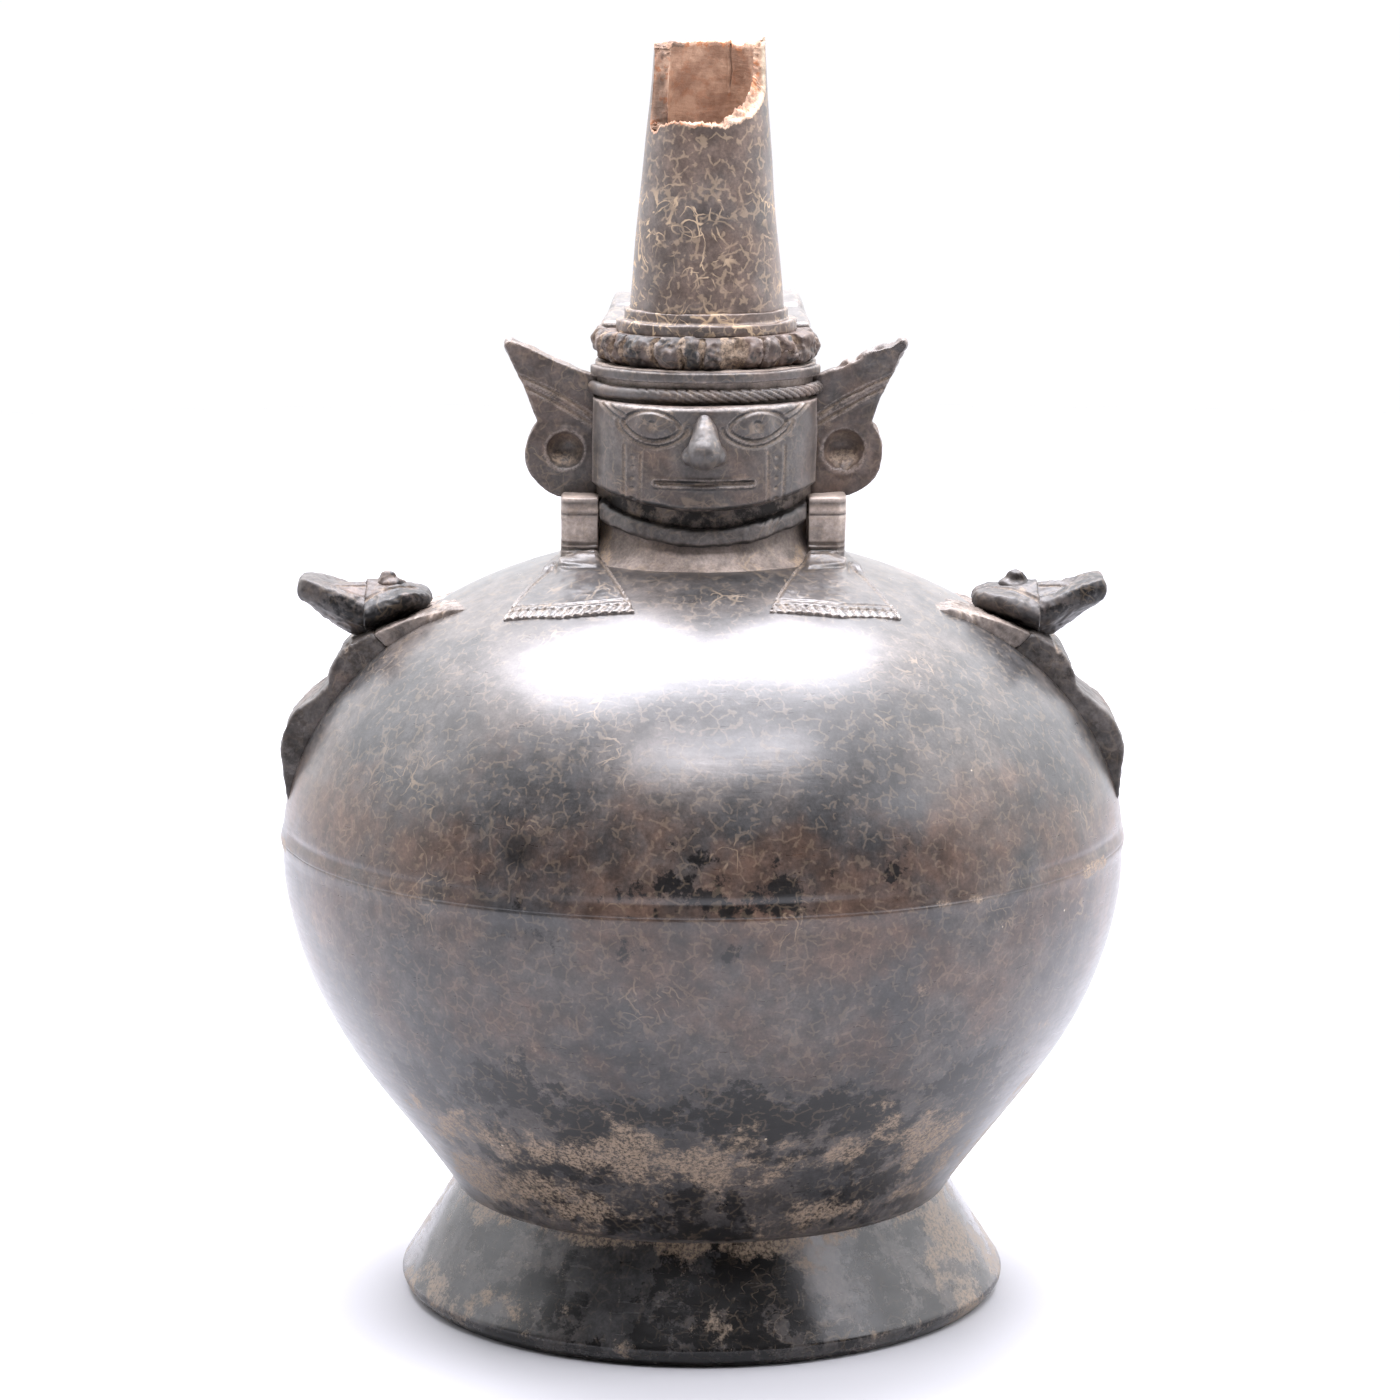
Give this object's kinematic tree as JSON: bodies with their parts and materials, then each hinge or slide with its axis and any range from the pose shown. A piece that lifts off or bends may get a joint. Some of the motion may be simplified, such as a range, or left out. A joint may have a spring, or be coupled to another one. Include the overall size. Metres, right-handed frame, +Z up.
{
  "type": "blackware face-neck bottle",
  "caption": "Blackware pottery bottle with a face neck, winged ears, a broken conical spout, a strap handle behind, shoulder figures and a flared ring foot.",
  "frame": {"origin": "centre of the foot's ring on the plane that it rests on", "axes": "+Z up along the vessel's axis, -Y towards the front that the face looks to, +X to the right of someone who looks at the face"},
  "size_m": [0.1732, 0.1732, 0.2583],
  "materials": {
    "grey_ware": "burnished satin, grey-brown blackware with tan rootlet marks",
    "dark_ware": "burnished satin, dark brown-black blackware",
    "brown_ware": "worn satin, browner ware with a terracotta core at the break"
  },
  "bodies": {
    "root": {"foot_ring": "dark_ware", "lower_bowl": "dark_ware", "upper_dome": "grey_ware", "neck": "grey_ware", "crown_roll": "brown_ware", "spout_collar": "brown_ware", "spout": "brown_ware", "face_mask": "grey_ware", "nose": "grey_ware", "headband": "grey_ware", "cord_band": "grey_ware", "ear_wing_right": "grey_ware", "ear_wing_left": "grey_ware", "necklace": "grey_ware", "lappet_right": "grey_ware", "lappet_left": "grey_ware", "strap_handle": "dark_ware", "attendant_right_body": "grey_ware", "attendant_right_arm_front": "grey_ware", "attendant_right_arm_rear": "grey_ware", "attendant_right_head": "grey_ware", "attendant_right_hat": "grey_ware", "attendant_right_nose": "grey_ware", "attendant_left_body": "grey_ware", "attendant_left_arm_front": "grey_ware", "attendant_left_arm_rear": "grey_ware", "attendant_left_head": "grey_ware", "attendant_left_hat": "grey_ware", "attendant_left_nose": "grey_ware"}
  },
  "joints": []
}
